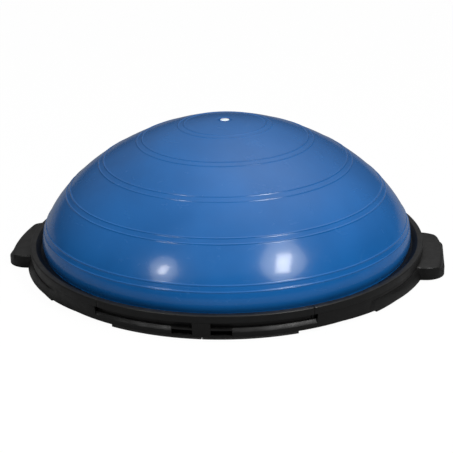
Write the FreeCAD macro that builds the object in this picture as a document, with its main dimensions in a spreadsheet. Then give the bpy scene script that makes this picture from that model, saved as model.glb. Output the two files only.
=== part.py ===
"""Balance dome trainer: an air-filled half ball clamped to a round platform with two handles.

Frame: the origin is on the floor under the middle, +Z is up, the handles are at +X and -X, the front is at -Y.
Lengths are in millimetres and angles in degrees.
"""
import FreeCAD, Part
import math
import os
import Sketcher

SIZES = (
    ("lip_radius", 300.0, "outer radius of the clamp ring's lip"),
    ("lip_top", 38.0, "height of the lip's top"),
    ("lip_inner", 291.4, "where the lip's top ends on the inside"),
    ("lip_chamfer", 2.0, "chamfer of the lip's outer top edge"),
    ("lip_inner_drop", 1.2, "how far the lip's inner edge is eased"),
    ("joint_height", 27.0, "where the lip sits on the shell's wall"),
    ("flange_inner", 277.5, "inner radius of the ring's clamping flange"),
    ("flange_low", 27.8, "underside of the clamping flange"),
    ("flange_top", 29.8, "top of the clamping flange at its inner edge"),
    ("flange_bend_radius", 284.0, "where the ring's inner slope starts to climb"),
    ("flange_bend_height", 31.2, "height of that bend"),
    ("spigot_inner", 285.6, "inner radius of the ring's spigot"),
    ("spigot_outer", 291.0, "outer radius of the spigot, the back of the front and rear recesses"),
    ("seam_angle", 30.0, "ring joints, measured from the front and from the back"),
    ("seam_gap", 0.12, "gap between two ring segments, as an angle"),
    ("seat_height", 17.5, "ledge that carries the ring's spigot"),
    ("seat_thickness", 2.6, "thickness of that ledge"),
    ("wall_foot_radius", 296.5, "outer radius of the shell's wall near its foot"),
    ("wall_top_radius", 299.2, "outer radius of the wall at its top"),
    ("wall_thickness", 3.2, "thickness of the moulded walls"),
    ("wall_chamfer", 2.0, "chamfer round the wall's foot"),
    ("foot_height", 4.0, "how far the rubber feet lift the shell"),
    ("tread_thickness", 3.0, "thickness of the flat underside"),
    ("collar_inner", 282.0, "inner radius of the collar round the bladder's floor"),
    ("collar_outer", 285.2, "outer radius of the collar"),
    ("collar_top", 24.0, "height of the collar"),
    ("rib_top", 17.7, "top of the shell's ribs, under the deck"),
    ("rib_thickness", 2.5, "thickness of the ribs"),
    ("rib_count", 12, "number of radial ribs"),
    ("outer_rib_radius", 191.0, "outer ring rib"),
    ("inner_rib_radius", 96.0, "inner ring rib"),
    ("hub_radius", 20.0, "ring rib at the centre"),
    ("recess_start", 2.4, "where a recess starts beside the middle block"),
    ("recess_end", 31.0, "where a recess ends"),
    ("recess_fall", 9.5, "how far a recess's floor falls outwards, beyond the slot"),
    ("window_end", 8.0, "where the slot under the ledge ends"),
    ("window_low", 7.0, "lower edge of that slot"),
    ("handle_reach", 331.5, "outer edge of the handles"),
    ("handle_half_length", 72.0, "half the length of a handle along the rim"),
    ("handle_corner", 30.0, "corner radius of a handle"),
    ("handle_blend", 10.0, "radius that blends a handle into the wall"),
    ("handle_root", 294.9, "radius inside the wall from which a handle grows"),
    ("handle_low", 2.0, "lower edge of the handles"),
    ("handle_top", 23.0, "top of the handles"),
    ("handle_skin", 4.0, "thickness of a handle's walls"),
    ("handle_plate", 7.5, "thickness of a handle's top at the wall"),
    ("handle_round", 2.4, "height of the sloping edge round a handle's top"),
    ("handle_crown_slope", 40.0, "slope of that edge, from upright"),
    ("handle_fall", 5.0, "fall of a handle's top away from the wall, as an angle"),
    ("nose_radius", 8.0, "rounding of a handle's outer edge"),
    ("nose_centre", 323.5, "radius where that rounding has its centre"),
    ("flare_offset", 29.0, "how far the centre of a flare's arc lies from the middle"),
    ("flare_radius", 277.2, "radius of that arc, which widens the wall towards a handle"),
    ("flare_low_reach", 306.5, "radius of the flares' slope at its foot"),
    ("flare_high_reach", 299.5, "radius of the flares' slope at its top"),
    ("flare_shoulder", 6.0, "height where the slope starts"),
    ("flare_top", 20.0, "height where the slope ends in the wall"),
    ("grip_wall", 298.3, "inner side of the finger space"),
    ("grip_rib_drop", 3.0, "depth of the ribs under a handle's top"),
    ("grip_rib_spacing", 30.0, "spacing of those ribs"),
    ("screw_circle", 288.3, "circle of the ring's screws"),
    ("screw_count", 12, "number of ring screws"),
    ("screw_hole", 1.5, "radius of the pilot holes"),
    ("screw_clearance", 2.0, "radius of the holes that the ring screws pass through"),
    ("screw_shank", 1.4, "radius of the screws"),
    ("screw_head", 2.8, "radius of the screw heads"),
    ("head_height", 2.0, "height of the screw heads"),
    ("screw_tip", 27.0, "height of the ring screws' tips"),
    ("boss_radius", 4.4, "radius of the screw bosses"),
    ("boss_low", 7.0, "lower end of the ring's screw bosses"),
    ("web_low", 7.5, "lower edge of the webs between the bosses"),
    ("deck_radius", 281.6, "radius of the deck"),
    ("deck_thickness", 3.0, "thickness of the deck"),
    ("deck_vent", 12.0, "radius of the deck's centre hole"),
    ("deck_hole_radius", 22.0, "radius of the deck's lightening holes"),
    ("deck_hole_circle", 143.0, "circle of the lightening holes"),
    ("deck_hole_count", 6, "number of lightening holes"),
    ("deck_screw_circle", 236.0, "circle of the deck's screws"),
    ("deck_screw_count", 6, "number of deck screws"),
    ("deck_screw_tip", 9.0, "height of the deck screws' tips"),
    ("sink_radius", 3.1, "radius of the sinks for the deck screws' heads"),
    ("dome_top", 222.0, "height of the crown"),
    ("dome_wall", 3.2, "thickness of the bladder's wall"),
    ("floor_low", 21.0, "underside of the bladder's floor"),
    ("floor_radius", 281.7, "radius of the bladder's floor"),
    ("bead_radius", 285.2, "outer radius of the clamped bead"),
    ("bead_low", 24.3, "underside of the bead"),
    ("bead_top", 27.5, "top of the bead"),
    ("neck_radius", 277.2, "outer radius of the neck inside the ring"),
    ("neck_top", 31.0, "height where the neck starts to swell"),
    ("crown_radius", 295.0, "profile radius of the crown"),
    ("crown_slope", 17.0, "slope where the crown ends"),
    ("shoulder_radius", 393.0, "profile radius of the flatter upper side"),
    ("shoulder_slope", 36.0, "slope where that part ends"),
    ("flank_radius", 266.0, "profile radius of the flank"),
    ("flank_slope", 52.0, "slope where the flank ends"),
    ("side_radius", 167.0, "profile radius of the side"),
    ("side_slope", 66.0, "slope where the side ends"),
    ("brow_radius", 54.0, "profile radius of the full lower side"),
    ("valve_barrel", 9.9, "radius of the valve's barrel"),
    ("valve_seat", 10.0, "radius of the hole in the crown"),
    ("valve_low", 201.0, "lower end of the barrel"),
    ("valve_flange", 18.0, "radius of the flange welded under the crown"),
    ("valve_flange_top", 218.1, "top of that flange"),
    ("valve_flange_thickness", 2.0, "thickness of that flange"),
    ("valve_rim", 221.9, "top of the barrel"),
    ("dish_radius", 8.3, "radius of the dish in the valve"),
    ("dish_floor", 219.7, "floor of the dish"),
    ("valve_bore", 3.6, "radius of the bore"),
    ("plug_stem", 3.55, "radius of the plug's stem"),
    ("plug_head", 6.6, "radius of the plug's head"),
    ("plug_head_low", 220.0, "underside of the plug's head"),
    ("plug_head_edge", 221.6, "height of the head's edge"),
    ("plug_crown", 222.6, "height of the head's flat top"),
    ("plug_bevel", 3.0, "width of the slope round the head's top"),
    ("plug_tip", 204.0, "lower end of the plug"),
    ("plug_taper", 2.6, "radius of the tip"),
    ("plug_taper_length", 2.5, "length of the tapered tip"),
    ("pad_inner", 275.0, "inner radius of the rubber feet, which are arcs along the rim"),
    ("pad_front_outer", 294.0, "outer radius of the feet at the front and back"),
    ("pad_side_outer", 298.0, "outer radius of the feet beside the handles"),
    ("pad_edge", 1.0, "chamfer along a foot's lower edges"),
    ("pad_front_start", 0.5, "where a foot starts, measured from the front or back"),
    ("pad_side_start", 17.5, "where a foot starts, measured from a handle's middle"),
    ("pad_front_sweep", 25.5, "arc of a foot at the front or back"),
    ("pad_side_sweep", 21.0, "arc of a foot beside a handle"),
)

FRONT = -90.0
BACK = 90.0
RIGHT = 0.0
LEFT = 180.0
HANDLE_COUNT = 2
FULL_TURN = 360.0

doc = FreeCAD.newDocument("BalanceDome")
sheet = doc.addObject("Spreadsheet::Sheet", "Sizes")
for row, (alias, value, note) in enumerate(SIZES, start=1):
    sheet.set(f"A{row}", note)
    sheet.set(f"B{row}", str(value))
    sheet.setAlias(f"B{row}", alias)
doc.recompute()


class Measure:
    """A length or number with its value now and the expression that ties it to the sheet."""

    def __init__(self, value, text):
        self.value = value
        self.text = text

    def __add__(self, other):
        other = measure(other)
        return Measure(self.value + other.value, f"({self.text} + {other.text})")

    def __sub__(self, other):
        other = measure(other)
        return Measure(self.value - other.value, f"({self.text} - {other.text})")

    def __mul__(self, other):
        other = measure(other)
        return Measure(self.value * other.value, f"({self.text} * {other.text})")

    def __truediv__(self, other):
        other = measure(other)
        return Measure(self.value / other.value, f"({self.text} / {other.text})")

    def __neg__(self):
        return Measure(-self.value, f"(-1 * {self.text})")


def measure(thing):
    """The thing itself where it is a Measure, else a plain number as one."""
    return thing if isinstance(thing, Measure) else Measure(float(thing), f"{thing:.6g}")


def size(alias):
    """The sheet's value of that name."""
    return Measure(float(sheet.get(alias)), f"Sizes.{alias}")


def sine(angle):
    return Measure(math.sin(math.radians(angle.value)), f"sin({angle.text})")


def cosine(angle):
    return Measure(math.cos(math.radians(angle.value)), f"cos({angle.text})")


def root(square):
    return Measure(math.sqrt(square.value), f"sqrt({square.text})")


def bind(thing, name, value):
    """Tie one property of a feature to the sheet."""
    setattr(thing, name, value.value)
    thing.setExpression(name, value.text)


def plane(body, role):
    """One of a body's own origin planes or axes."""
    return next(f for f in body.Origin.OriginFeatures if f.Role == role)


def new_body(name):
    body = doc.addObject("PartDesign::Body", name)
    body.Label = name
    return body


def new_sketch(body, name, role, lift=0.0, turn=0.0):
    """A sketch on an origin plane, lifted along the plane's normal or turned about the vertical axis."""
    sketch = body.newObject("Sketcher::SketchObject", name)
    sketch.AttachmentSupport = [(plane(body, role), "")]
    sketch.MapMode = "FlatFace"
    offset = FreeCAD.Placement()
    if lift:
        offset = FreeCAD.Placement(FreeCAD.Vector(0, 0, lift), FreeCAD.Rotation())
    if turn:
        offset = FreeCAD.Placement(FreeCAD.Vector(), FreeCAD.Rotation(FreeCAD.Vector(0, 1, 0), turn))
    sketch.AttachmentOffset = offset
    return sketch


def pin_point(sketch, edge, end, point):
    """Hold one end of a sketch edge at a point that the sheet gives."""
    for kind, axis, part in (("DistanceX", -2, point[0]), ("DistanceY", -1, point[1])):
        if abs(part.value) < 1e-9:
            sketch.addConstraint(Sketcher.Constraint("PointOnObject", edge, end, axis))
            continue
        index = sketch.addConstraint(Sketcher.Constraint(kind, edge, end, part.value))
        sketch.setExpression(f"Constraints[{index}]", part.text)


def flat(point):
    return FreeCAD.Vector(point[0].value, point[1].value, 0)


def draw(sketch, corners):
    """A closed outline. Each corner is (x, y), or (x, y, radius, centre) where an arc leads to it."""
    corners = [(measure(c[0]), measure(c[1]), *c[2:]) for c in corners]
    first = sketch.GeometryCount
    for k, corner in enumerate(corners):
        start, end = flat(corners[k - 1]), flat(corner)
        if len(corner) == 2:
            edge = sketch.addGeometry(Part.LineSegment(start, end))
        else:
            centre = flat(corner[3])
            half = (start - centre) + (end - centre)
            middle = centre + half * (corner[2].value / half.Length)
            edge = sketch.addGeometry(Part.Arc(start, middle, end))
    count = len(corners)
    ends = []
    for k, corner in enumerate(corners):
        edge = first + k
        runs_on = flat(corner).distanceToPoint(sketch.getPoint(edge, 2)) < 1e-6
        ends.append((1, 2) if runs_on else (2, 1))
    for k in range(count):
        following = (k + 1) % count
        sketch.addConstraint(
            Sketcher.Constraint("Coincident", first + k, ends[k][1], first + following, ends[following][0])
        )
        pin_point(sketch, first + k, ends[k][1], corners[k])
        if len(corners[k]) > 2:
            index = sketch.addConstraint(Sketcher.Constraint("Radius", first + k, corners[k][2].value))
            sketch.setExpression(f"Constraints[{index}]", corners[k][2].text)


def draw_circle(sketch, centre, radius):
    edge = sketch.addGeometry(Part.Circle(flat(centre), FreeCAD.Vector(0, 0, 1), radius.value))
    pin_point(sketch, edge, 3, centre)
    index = sketch.addConstraint(Sketcher.Constraint("Radius", edge, radius.value))
    sketch.setExpression(f"Constraints[{index}]", radius.text)


def volume_of(body):
    doc.recompute()
    return body.Shape.Volume if not body.Shape.isNull() else 0.0


def turned(body, name, kind, sketch, angle=None):
    """A revolution or a groove about the vertical axis. It must change the volume the right way."""
    before = volume_of(body)
    feature = body.newObject(f"PartDesign::{kind}", name)
    feature.Profile = sketch
    feature.ReferenceAxis = (sketch, ["V_Axis"])
    feature.Angle = FULL_TURN
    if angle is not None:
        bind(feature, "Angle", angle)
    gained = volume_of(body) - before
    if (gained if kind == "Revolution" else -gained) <= 0:
        raise RuntimeError(f"{name} changes nothing")
    return feature


def raised(body, name, kind, sketch, length=None, reverse=False, both_ways=False):
    """A pad or a pocket. It must change the volume the right way."""
    before = volume_of(body)
    feature = body.newObject(f"PartDesign::{kind}", name)
    feature.Profile = sketch
    if length is None:
        feature.Type = "ThroughAll"
    else:
        bind(feature, "Length", length)
    feature.Reversed = reverse
    feature.Midplane = both_ways
    gained = volume_of(body) - before
    if (gained if kind == "Pad" else -gained) <= 0:
        raise RuntimeError(f"{name} changes nothing")
    return feature


def repeated(body, name, features, count):
    """The features again, evenly spaced round the vertical axis."""
    pattern = body.newObject("PartDesign::PolarPattern", name)
    pattern.Originals = features
    pattern.Axis = (plane(body, "Z_Axis"), [""])
    pattern.Angle = FULL_TURN
    if isinstance(count, Measure):
        pattern.Occurrences = int(count.value)
        pattern.setExpression("Occurrences", count.text)
    else:
        pattern.Occurrences = count
    body.Tip = pattern
    doc.recompute()
    return pattern


def spin(angle):
    """A placement turned about the vertical axis."""
    return FreeCAD.Placement(FreeCAD.Vector(), FreeCAD.Rotation(FreeCAD.Vector(0, 0, 1), angle))


def add_ribs(body):
    """Ring and radial ribs that carry the deck, with a boss for each deck screw."""
    tread_top = size("foot_height") + size("tread_thickness")
    half = size("rib_thickness") / 2
    sketch = new_sketch(body, "rib_plan", "XY_Plane", lift=tread_top.value)
    inner = size("hub_radius") - half
    outer = size("collar_inner") + half
    draw(sketch, [(inner, -half), (outer, -half), (outer, half), (inner, half)])
    rib = raised(body, "radial_rib", "Pad", sketch, size("rib_top") - tread_top)
    repeated(body, "radial_ribs", [rib], size("rib_count"))

    boss_angle = Measure(180 / size("deck_screw_count").value, "(180 / Sizes.deck_screw_count)")
    centre = (size("deck_screw_circle") * cosine(boss_angle), size("deck_screw_circle") * sine(boss_angle))
    sketch = new_sketch(body, "deck_boss_plan", "XY_Plane", lift=tread_top.value)
    draw_circle(sketch, centre, size("boss_radius"))
    boss = raised(body, "deck_boss", "Pad", sketch, size("rib_top") - tread_top)
    repeated(body, "deck_bosses", [boss], size("deck_screw_count"))
    sketch = new_sketch(body, "deck_boss_hole", "XY_Plane", lift=size("rib_top").value)
    draw_circle(sketch, centre, size("screw_hole"))
    hole = raised(body, "deck_pilot", "Pocket", sketch, size("rib_top") - size("deck_screw_tip"))
    repeated(body, "deck_pilots", [hole], size("deck_screw_count"))


def add_rim_channel(body):
    """Screw bosses and webs in the open channel under the ring's ledge."""
    ledge_low = size("seat_height") - size("seat_thickness")
    half_step = Measure(180 / size("screw_count").value, "(180 / Sizes.screw_count)")
    centre = (size("screw_circle") * cosine(half_step), size("screw_circle") * sine(half_step))
    sketch = new_sketch(body, "ring_boss_plan", "XY_Plane", lift=size("boss_low").value)
    draw_circle(sketch, centre, size("boss_radius"))
    boss = raised(body, "ring_boss", "Pad", sketch, ledge_low - size("boss_low"))
    repeated(body, "ring_bosses", [boss], size("screw_count"))
    sketch = new_sketch(body, "ring_hole_plan", "XY_Plane", lift=size("boss_low").value)
    draw_circle(sketch, centre, size("screw_clearance"))
    hole = raised(body, "ring_hole", "Pocket", sketch, size("seat_height") - size("boss_low"), reverse=True)
    repeated(body, "ring_holes", [hole], size("screw_count"))

    half = size("rib_thickness") / 2
    inner, outer = size("collar_outer") - half, size("handle_root")
    sketch = new_sketch(body, "web_plan", "XY_Plane", lift=size("web_low").value)
    draw(sketch, [(inner, -half), (outer, -half), (outer, half), (inner, half)])
    web = raised(body, "rim_web", "Pad", sketch, ledge_low - size("web_low"))
    repeated(body, "rim_webs", [web], size("screw_count"))


def cut_arc(body, name, start, sweep, corners):
    """A groove of that section along an arc of the rim."""
    sketch = new_sketch(body, f"{name}_section", "XZ_Plane", turn=start)
    draw(sketch, corners)
    return turned(body, name, "Groove", sketch, sweep)


def add_recesses(body):
    """Recesses each side of the front and rear middle blocks.

    Near a block the floor is flat, with a slot below its ledge. Further out the floor falls outwards.
    """
    inner, outer = size("spigot_outer") + size("wall_thickness"), size("lip_radius")
    seat, slot_inner = size("seat_height"), inner - size("wall_chamfer")
    above = size("joint_height") + size("wall_chamfer")
    ledge_low = seat - size("seat_thickness")
    level = [(inner, seat), (outer, seat), (outer, above), (inner, above)]
    falling = [(inner, seat), (outer, seat - size("recess_fall")), (outer, above), (inner, above)]
    slot_low = size("window_low")
    slot = [(slot_inner, slot_low), (outer, slot_low), (outer, ledge_low), (slot_inner, ledge_low)]
    near, turn_point, far = size("recess_start"), size("window_end"), size("recess_end")
    for middle, side in ((FRONT, "front"), (BACK, "back")):
        for hand, near_start, far_start in (
            ("left", -turn_point.value, -far.value),
            ("right", near.value, turn_point.value),
        ):
            cut_arc(body, f"recess_{side}_{hand}", middle + near_start, turn_point - near, level)
            cut_arc(body, f"slot_{side}_{hand}", middle + near_start, turn_point - near, slot)
            cut_arc(body, f"scoop_{side}_{hand}", middle + far_start, far - turn_point, falling)


def add_flares(body):
    """The wall widens towards each handle, and the widening fades upwards."""
    low, top = size("foot_height"), size("flare_top")
    offset, bow, inner = size("flare_offset"), size("flare_radius"), size("handle_root")
    tip_x = (inner * inner - bow * bow + offset * offset) / (offset * 2)
    tip_y = root(inner * inner - tip_x * tip_x)
    zero = measure(0)
    sketch = new_sketch(body, "flare_plan", "XY_Plane", lift=low.value)
    draw(sketch, [(tip_x, tip_y, bow, (offset, zero)), (tip_x, -tip_y, inner, (zero, zero))])
    flare = raised(body, "flare", "Pad", sketch, top - low)
    repeated(body, "flares", [flare], HANDLE_COUNT)
    near, far = size("flare_high_reach"), size("flare_low_reach")
    shoulder = size("flare_shoulder")
    beyond, above = far + size("wall_thickness"), top + size("wall_chamfer")
    sketch = new_sketch(body, "flare_slope_section", "XZ_Plane")
    draw(sketch, [(near, top), (far, shoulder), (beyond, shoulder), (beyond, above), (near, above)])
    turned(body, "flare_slope", "Groove", sketch)


def handle_outline(reach, half_length, corner, wall, blend):
    """Plan of a handle on the +X side: rounded outside, blended into a wall of the given radius."""
    corner_x = reach - corner
    corner_y = half_length - corner
    if blend is None:
        foot_x = root(wall * wall - half_length * half_length)
        foot = [(foot_x, half_length)]
        back = [(foot_x, -half_length)]
    else:
        blend_y = half_length + blend
        blend_x = root((wall + blend) * (wall + blend) - blend_y * blend_y)
        share = wall / (wall + blend)
        deep = size("handle_root") / (wall + blend)
        foot = [
            (blend_x, half_length),
            (blend_x * share, blend_y * share, blend, (blend_x, blend_y)),
            (blend_x * deep, blend_y * deep),
        ]
        back = [(blend_x * deep, -(blend_y * deep)), (blend_x * share, -(blend_y * share))]
        back.append((blend_x, -half_length, blend, (blend_x, -blend_y)))
    inner_radius = wall if blend is None else size("handle_root")
    back[0] = (*back[0], inner_radius, (measure(0), measure(0)))
    return [
        (reach, corner_y),
        (corner_x, half_length, corner, (corner_x, corner_y)),
        *foot,
        *back,
        (corner_x, -half_length),
        (reach, -corner_y, corner, (corner_x, -corner_y)),
    ]


def add_handles(body):
    """Two lugs with a finger space open below, shallow ribs inside and a top that falls to a round nose."""
    low, top = size("handle_low"), size("handle_top")
    skin = size("handle_skin")
    crown_low = top - size("handle_round")
    plan = handle_outline(
        size("handle_reach"),
        size("handle_half_length"),
        size("handle_corner"),
        size("wall_foot_radius"),
        size("handle_blend"),
    )
    sketch = new_sketch(body, "handle_plan", "XY_Plane", lift=low.value)
    draw(sketch, plan)
    lug = raised(body, "handle_lug", "Pad", sketch, crown_low - low)
    sketch = new_sketch(body, "handle_crown_plan", "XY_Plane", lift=crown_low.value)
    draw(sketch, plan)
    crown = raised(body, "handle_crown", "Pad", sketch, size("handle_round"))
    bind(crown, "TaperAngle", -size("handle_crown_slope"))
    doc.recompute()

    sketch = new_sketch(body, "finger_space_plan", "XY_Plane", lift=low.value)
    draw(
        sketch,
        handle_outline(
            size("handle_reach") - skin,
            size("handle_half_length") - skin,
            size("handle_corner") - skin,
            size("grip_wall"),
            None,
        ),
    )
    depth = top - low - size("handle_plate")
    space = raised(body, "finger_space", "Pocket", sketch, depth, reverse=True)

    half = size("rib_thickness") / 2
    rib_low = top - size("handle_plate") - size("grip_rib_drop")
    sketch = new_sketch(body, "grip_rib_plan", "XY_Plane", lift=rib_low.value)
    inner, outer = size("grip_wall") - half, size("handle_reach") - half
    for step in (-1, 0, 1):
        middle = size("grip_rib_spacing") * step
        draw(
            sketch,
            [(inner, middle - half), (outer, middle - half), (outer, middle + half), (inner, middle + half)],
        )
    ribs = raised(body, "grip_ribs", "Pad", sketch, top - half - rib_low)

    repeated(body, "handles", [lug, crown, space, ribs], HANDLE_COUNT)

    fall, nose = size("handle_fall"), size("nose_radius")
    start = (size("lip_radius"), top)
    bend_x = size("nose_centre") + nose * sine(fall)
    bend_z = top - (bend_x - start[0]) * sine(fall) / cosine(fall)
    centre = (size("nose_centre"), bend_z - nose * cosine(fall))
    far, above = size("handle_reach") + nose, top + size("handle_round")
    sketch = new_sketch(body, "nose_section", "XZ_Plane")
    draw(
        sketch,
        [
            start,
            (bend_x, bend_z),
            (centre[0] + nose, centre[1], nose, centre),
            (far, centre[1]),
            (far, above),
            (start[0], above),
        ],
    )
    turned(body, "handle_noses", "Groove", sketch)


def make_base_shell():
    """The platform's lower moulding: flat tread, collar, ledge, outer wall and both handles."""
    body = new_body("base_shell")
    low = size("foot_height")
    tread_top = low + size("tread_thickness")
    seat, top = size("seat_height"), size("joint_height")
    ledge_low = seat - size("seat_thickness")
    wall, rib_top, rib = size("wall_thickness"), size("rib_top"), size("rib_thickness")
    foot, rim = size("wall_foot_radius"), size("wall_top_radius")
    collar_in, collar_out = size("collar_inner"), size("collar_outer")
    chamfer = size("wall_chamfer")
    corners = [
        (measure(0), low),
        (collar_out, low),
        (collar_out, ledge_low),
        (foot - wall, ledge_low),
        (foot - wall, low),
        (foot - chamfer, low),
        (foot, low + chamfer),
        (rim, top),
        (rim - wall, top),
        (rim - wall, seat),
        (collar_out, seat),
        (collar_out, size("collar_top")),
        (collar_in, size("collar_top")),
        (collar_in, tread_top),
    ]
    for radius in (size("outer_rib_radius"), size("inner_rib_radius"), size("hub_radius")):
        corners += [
            (radius, tread_top),
            (radius, rib_top),
            (radius - rib, rib_top),
            (radius - rib, tread_top),
        ]
    corners.append((measure(0), tread_top))
    sketch = new_sketch(body, "shell_section", "XZ_Plane")
    draw(sketch, corners)
    turned(body, "shell", "Revolution", sketch)
    add_ribs(body)
    add_rim_channel(body)
    add_flares(body)
    add_handles(body)
    add_recesses(body)
    return body


def make_ring_segment(name, middle, sweep):
    """One length of the clamp ring: lip above, clamping flange inside, spigot with screw holes below."""
    body = new_body(name)
    lip, top, joint = size("lip_radius"), size("lip_top"), size("joint_height")
    ease, edge = size("lip_inner_drop"), size("lip_chamfer")
    inner, seat = size("flange_inner"), size("seat_height")
    corners = [
        (size("spigot_inner"), seat),
        (size("spigot_outer"), seat),
        (size("spigot_outer"), joint),
        (lip, joint),
        (lip, top - edge),
        (lip - edge, top),
        (size("lip_inner") + ease, top),
        (size("lip_inner"), top - ease),
        (size("flange_bend_radius"), size("flange_bend_height")),
        (inner, size("flange_top")),
        (inner, size("flange_low")),
        (size("spigot_inner"), size("flange_low")),
    ]
    sketch = new_sketch(body, f"{name}_section", "XZ_Plane")
    draw(sketch, corners)
    turned(body, f"{name}_ring", "Revolution", sketch, sweep - size("seam_gap"))
    start = middle - sweep.value / 2 + size("seam_gap").value / 2
    step = FULL_TURN / size("screw_count").value
    for number in range(int(size("screw_count").value)):
        angle = (number + 0.5) * step
        if (angle - start) % FULL_TURN > sweep.value:
            continue
        local = Measure(angle - start, f"{angle - start:.6f}")
        sketch = new_sketch(body, f"{name}_pilot_{number + 1}", "XY_Plane", lift=seat.value)
        centre = (size("screw_circle") * cosine(local), size("screw_circle") * sine(local))
        draw_circle(sketch, centre, size("screw_hole"))
        depth = size("screw_tip") - seat
        raised(body, f"{name}_screw_hole_{number + 1}", "Pocket", sketch, depth, reverse=True)
    body.Placement = spin(start)
    return body


def make_support_deck():
    """The disc that closes the platform's hollow and carries the bladder's floor."""
    body = new_body("support_deck")
    low = size("rib_top")
    sketch = new_sketch(body, "deck_plan", "XY_Plane", lift=low.value)
    draw_circle(sketch, (measure(0), measure(0)), size("deck_radius"))
    draw_circle(sketch, (measure(0), measure(0)), size("deck_vent"))
    raised(body, "deck", "Pad", sketch, size("deck_thickness"))
    sketch = new_sketch(body, "lightening_plan", "XY_Plane", lift=low.value)
    draw_circle(sketch, (size("deck_hole_circle"), measure(0)), size("deck_hole_radius"))
    hole = raised(body, "lightening_hole", "Pocket", sketch, size("deck_thickness"), reverse=True)
    repeated(body, "lightening_holes", [hole], size("deck_hole_count"))
    half_step = Measure(180 / size("deck_screw_count").value, "(180 / Sizes.deck_screw_count)")
    centre = (size("deck_screw_circle") * cosine(half_step), size("deck_screw_circle") * sine(half_step))
    sketch = new_sketch(body, "deck_screw_plan", "XY_Plane", lift=low.value)
    draw_circle(sketch, centre, size("screw_hole"))
    hole = raised(body, "deck_screw_hole", "Pocket", sketch, size("deck_thickness"), reverse=True)
    sink_floor = low + size("deck_thickness") - size("head_height")
    sketch = new_sketch(body, "deck_sink_plan", "XY_Plane", lift=sink_floor.value)
    draw_circle(sketch, centre, size("sink_radius"))
    sink = raised(body, "deck_screw_sink", "Pocket", sketch, size("head_height"), reverse=True)
    repeated(body, "deck_screw_holes", [hole, sink], size("deck_screw_count"))
    return body


def profile_arcs(offset):
    """The dome's profile from the crown down, as (end point, radius, centre), moved inwards by offset."""
    radii = [size(f"{part}_radius") for part in ("crown", "shoulder", "flank", "side", "brow")]
    slopes = [size(f"{part}_slope") for part in ("crown", "shoulder", "flank", "side")] + [measure(90)]
    centre = (measure(0), size("dome_top") - radii[0])
    arcs = []
    for number, (radius, slope) in enumerate(zip(radii, slopes)):
        near = radius - offset
        end = (centre[0] + near * sine(slope), centre[1] + near * cosine(slope))
        arcs.append((end, near, centre))
        if number + 1 < len(radii):
            step = radius - radii[number + 1]
            centre = (centre[0] + step * sine(slope), centre[1] + step * cosine(slope))
    return arcs


def tuck_arc(offset, widest):
    """The arc from the widest point down to the neck: its end, radius and centre."""
    inset = widest[0] - size("neck_radius")
    drop = widest[1] - size("neck_top")
    radius = (inset * inset + drop * drop) / (inset * 2)
    centre = (widest[0] - radius, widest[1])
    return (size("neck_radius") - offset, size("neck_top")), radius, centre


def make_dome_bladder():
    """The closed half ball: floor, clamped bead, neck, tucked side and crown, with a hole for the valve."""
    body = new_body("dome_bladder")
    wall = size("dome_wall")
    outer = profile_arcs(measure(0))
    inner = profile_arcs(wall)
    seat = size("valve_seat")
    crown_centre = outer[0][2]
    crown_out = (seat, crown_centre[1] + root(outer[0][1] * outer[0][1] - seat * seat))
    crown_in = (seat, crown_centre[1] + root(inner[0][1] * inner[0][1] - seat * seat))
    neck, tuck_radius, tuck_centre = tuck_arc(measure(0), outer[-1][0])
    inner_neck_r = size("neck_radius") - wall
    inset = inner[-1][0][0] - inner_neck_r
    drop = inner[-1][0][1] - size("neck_top")
    inner_tuck = (inset * inset + drop * drop) / (inset * 2)
    inner_tuck_centre = (inner[-1][0][0] - inner_tuck, inner[-1][0][1])
    floor_top = size("floor_low") + wall
    corners = [crown_out]
    corners += [(*end, radius, centre) for end, radius, centre in outer]
    corners += [
        (*neck, tuck_radius, tuck_centre),
        (size("neck_radius"), size("bead_top")),
        (size("bead_radius"), size("bead_top")),
        (size("bead_radius"), size("bead_low")),
        (size("floor_radius"), size("bead_low")),
        (size("floor_radius"), size("floor_low")),
        (measure(0), size("floor_low")),
        (measure(0), floor_top),
        (inner_neck_r - wall, floor_top),
        (inner_neck_r, floor_top + wall),
        (inner_neck_r, size("neck_top")),
        (*inner[-1][0], inner_tuck, inner_tuck_centre),
    ]
    for number in range(len(inner) - 1, 0, -1):
        end, _, _ = inner[number - 1]
        _, radius, centre = inner[number]
        corners.append((*end, radius, centre))
    corners.append((*crown_in, inner[0][1], inner[0][2]))
    sketch = new_sketch(body, "bladder_section", "XZ_Plane")
    draw(sketch, corners)
    turned(body, "bladder", "Revolution", sketch)
    return body


def make_valve_body():
    """The valve welded into the crown: a barrel with a dished top, a bore and a flange."""
    body = new_body("valve_body")
    barrel, bore = size("valve_barrel"), size("valve_bore")
    flange_top = size("valve_flange_top")
    flange_low = flange_top - size("valve_flange_thickness")
    corners = [
        (bore, size("valve_low")),
        (barrel - size("valve_flange_thickness"), size("valve_low")),
        (barrel, flange_low - size("valve_flange_thickness") * 2),
        (barrel, flange_low),
        (size("valve_flange"), flange_low),
        (size("valve_flange"), flange_top),
        (barrel, flange_top),
        (barrel, size("valve_rim")),
        (size("dish_radius"), size("valve_rim")),
        (size("dish_radius"), size("dish_floor")),
        (bore, size("dish_floor")),
    ]
    sketch = new_sketch(body, "valve_section", "XZ_Plane")
    draw(sketch, corners)
    turned(body, "valve", "Revolution", sketch)
    return body


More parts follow.
